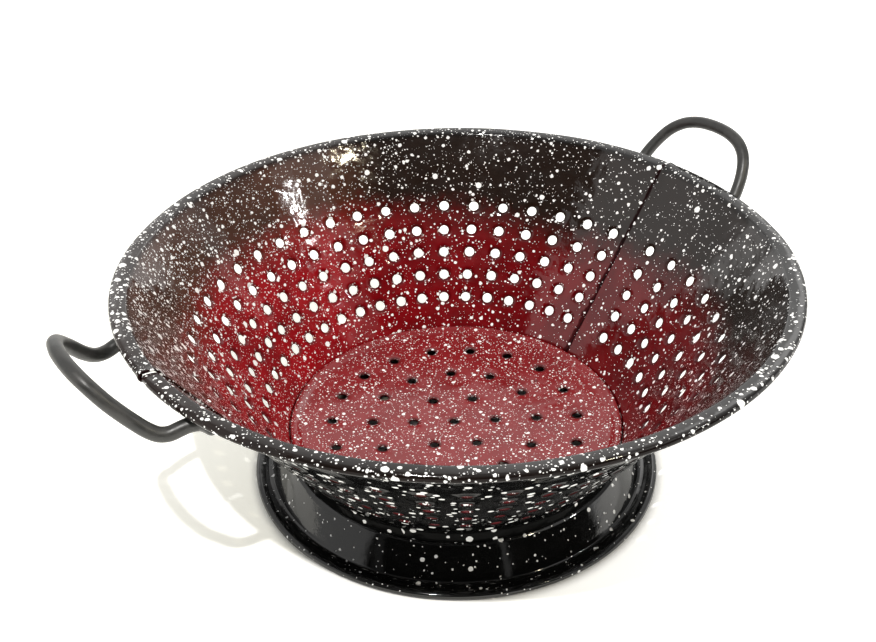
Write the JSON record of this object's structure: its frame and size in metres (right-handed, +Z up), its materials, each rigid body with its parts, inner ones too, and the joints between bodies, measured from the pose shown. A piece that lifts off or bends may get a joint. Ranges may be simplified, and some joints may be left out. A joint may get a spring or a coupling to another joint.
{
  "type": "footed colander",
  "caption": "Round footed colander of speckled enamelled sheet: flared perforated bowl in lapped panels, dished drain disc, flared foot ring and bent-wire side handles.",
  "frame": {"origin": "on the bowl's axis at the height of the surface that the foot ring stands on", "axes": "+Z up along the bowl's axis, +X through the right handle with the left handle on -X, -Y to the front panel's side"},
  "size_m": [0.3506, 0.3, 0.1319],
  "materials": {
    "wall_enamel": "glossy vitreous enamel, red inside fading to black at the rim and black outside, white speckle",
    "disc_enamel": "glossy red vitreous enamel with white speckle, black underneath",
    "foot_enamel": "glossy black vitreous enamel with sparse white speckle",
    "handle_enamel": "satin black enamel on steel wire"
  },
  "bodies": {
    "root": {"wall_panel_front": "wall_enamel", "wall_panel_back": "wall_enamel", "bottom_disc": "disc_enamel", "foot_ring": "foot_enamel", "handle_left": "handle_enamel", "handle_right": "handle_enamel"}
  },
  "joints": []
}
